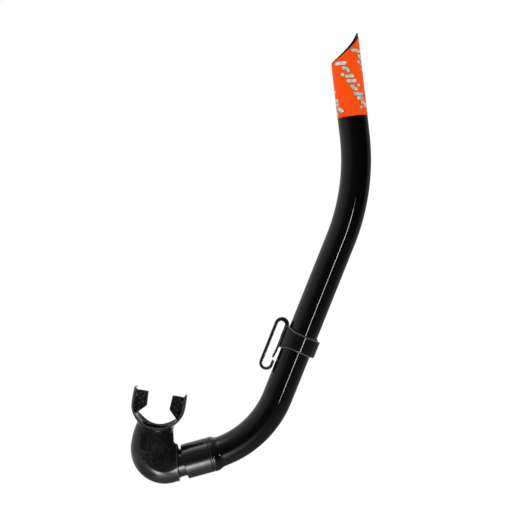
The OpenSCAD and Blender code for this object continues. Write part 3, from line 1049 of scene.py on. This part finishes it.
# Light seen in reflections: (degrees, strength) unless said otherwise.
# Azimuth is 0 towards -Y and grows towards +X; elevation is 0 level and 90 up.
SIDE_LIGHT = [
    (-180, 1.3), (-168, 0.9), (-155, 0.6), (-140, 0.58), (-123, 0.6), (-109, 0.6),
    (-97, 0.52), (-86, 0.45), (-76, 0.39), (-66, 0.33), (-57, 0.29), (-49, 0.23),
    (-41, 0.16), (-33, 0.09), (-26, 0.06), (-11, 0.045), (4, 0.035), (38, 0.015),
    (82, 0.012), (93, 0.1), (105, 0.21), (118, 0.27), (135, 0.22), (152, 0.3), (166, 0.9),
    (180, 1.3)]
SIDE_REACH = [(-90, 0), (-45, 0.1), (-22, 1), (48, 1), (62, 0.3), (75, 0.1), (90, 0)]
BELOW = [(-90, 0.45), (-72, 0.4), (-60, 0.27), (-45, 0.22), (-30, 0.17), (-24, 0.12),
         (-20, 0.07), (-15, 0.05), (-12, 0.02), (-9, 0.0), (90, 0)]
BELOW_BY_Y = [(0, 1), (0.28, 1), (0.5, 0.9), (0.85, 0.35), (1, 0.2)]  # 0 at -Y, 1 at +Y
ABOVE = [(-90, 0), (12, 0), (20, 0.06), (30, 0.09), (50, 0.12), (60, 0.3), (90, 0.5)]
# low front lamp: by angle down from -Y, and by the direction's part along LAMP_AXIS
LAMP_POWER = 13.0
LAMP_DOWN, LAMP_AXIS = (0.264, 0, -0.965), (0.965, 0, 0.264)
LAMP_FALL = [
    (-90, 0), (6, 0), (10, 0.15), (17, 0.5), (23, 3.8), (29, 11.8), (36, 13.6), (43, 8.6),
    (50, 4.2), (58, 1.9), (66, 1.05), (73, 0.6), (80, 0.2), (88, 0)]
LAMP_WIDTH = [
    (-1, 0), (-0.72, 0.02), (-0.58, 0.06), (-0.46, 0.16), (-0.36, 0.5), (-0.24, 1.12),
    (-0.108, 1), (-0.097, 0.8), (-0.088, 0.42), (-0.06, 0.17), (0.05, 0.06), (0.14, 0.02),
    (0.24, 0.0), (1, 0)]
# weak lamp high on the left: strength by degrees from its middle
HIGH_POWER, HIGH_DIR = 2.0, (-0.316, -0.166, 0.934)
HIGH_FALL = [(28, 0), (18, 0.12), (10, 0.4), (5, 1)]
# narrow upright strip to the right of the camera
STRIP_POWER, STRIP_AZIMUTH, STRIP_HALF = 22.0, 19.3, 1.3
STRIP_REACH = [(-90, 0), (-15.2, 0), (-14.0, 1), (-1.6, 1), (-0.2, 0), (90, 0)]


def stops(table, end, power=1):
    """Ramp stops from a table whose first column runs from -end to end."""
    return [((at + end) / (2 * end), value / power) for at, value in table]


def reflected_light(g):
    coords = g.add("ShaderNodeTexCoord").outputs["Generated"]
    x, y, z = g.add("ShaderNodeSeparateXYZ", {0: coords}).outputs

    def dot(direction):
        node = g.add("ShaderNodeVectorMath", {0: coords, 1: direction},
                     operation="DOT_PRODUCT")
        return node.outputs["Value"]

    azimuth = g.math("ARCTAN2", x, g.math("MULTIPLY", y, -1.0))
    turn_share = g.math("MULTIPLY_ADD", azimuth, 1 / (2 * math.pi), 0.5)
    # what stands round the object at its own height
    side = g.ramp(turn_share, stops(SIDE_LIGHT, 180))
    elevation = g.math("MULTIPLY_ADD", g.math("ARCSINE", z), 1 / math.pi, 0.5)
    total = g.math("MULTIPLY", side, g.ramp(elevation, stops(SIDE_REACH, 90)))
    # the table below and the room above
    below = g.ramp(elevation, stops(BELOW, 90))
    by_y = g.ramp(g.math("MULTIPLY_ADD", y, 0.5, 0.5), BELOW_BY_Y)
    total = g.math("MULTIPLY_ADD", below, by_y, total)
    total = g.math("ADD", total, g.ramp(elevation, stops(ABOVE, 90)))
    # lamps
    fall = g.math("ARCTAN2", dot(LAMP_DOWN), g.math("MULTIPLY", y, -1.0))
    fall = g.math("MULTIPLY_ADD", fall, 1 / math.pi, 0.5)
    lamp = g.ramp(fall, stops(LAMP_FALL, 90, LAMP_POWER))
    width = g.math("MULTIPLY_ADD", dot(LAMP_AXIS), 0.5, 0.5)
    lamp = g.math("MULTIPLY", lamp, g.ramp(width, stops(LAMP_WIDTH, 1)))
    total = g.math("MULTIPLY_ADD", lamp, LAMP_POWER, total)
    fall = [(math.cos(rad(a)), value) for a, value in HIGH_FALL]
    high = g.ramp(dot(HIGH_DIR), [(0, 0), *fall, (1, 1)])
    total = g.math("MULTIPLY_ADD", high, HIGH_POWER, total)
    off = g.math("ABSOLUTE", g.math("SUBTRACT", azimuth, rad(STRIP_AZIMUTH)))
    strip = g.math("MULTIPLY", g.math("LESS_THAN", off, rad(STRIP_HALF)),
                   g.ramp(elevation, stops(STRIP_REACH, 90)))
    return g.math("MULTIPLY_ADD", strip, STRIP_POWER, total)


def world():
    """White to the camera, the studio in reflections, even light for the rest."""
    studio = bpy.data.worlds.new("studio")
    bpy.context.scene.world = studio
    studio.use_nodes = True
    g = Nodes(studio.node_tree)
    out = g.add("ShaderNodeOutputWorld")
    gloss = g.add("ShaderNodeBackground", {"Color": reflected_light(g)})
    plain = g.add("ShaderNodeBackground", {"Color": (1, 1, 1, 1), "Strength": 0.95})
    white = g.add("ShaderNodeBackground", {"Color": (1, 1, 1, 1)})
    ray = g.add("ShaderNodeLightPath").outputs
    mix = plain
    for kind, background in (("Is Glossy Ray", gloss), ("Is Camera Ray", white)):
        mix = g.add("ShaderNodeMixShader", {
            0: ray[kind], 1: mix.outputs[0], 2: background.outputs[0]})
    g.put(out, {0: mix.outputs[0]})


def add_camera():
    """Level camera in front, looking along +Y."""
    lens = bpy.data.cameras.new("camera")
    lens.lens = 76.6
    lens.sensor_width = 36
    camera = bpy.data.objects.new("camera", lens)
    camera.location = (-0.0157, -0.971, 0.0782)
    camera.rotation_euler = (math.pi / 2, 0, 0)
    bpy.context.scene.collection.objects.link(camera)
    bpy.context.scene.camera = camera


world()
add_camera()
bpy.context.scene.view_settings.view_transform = "Standard"
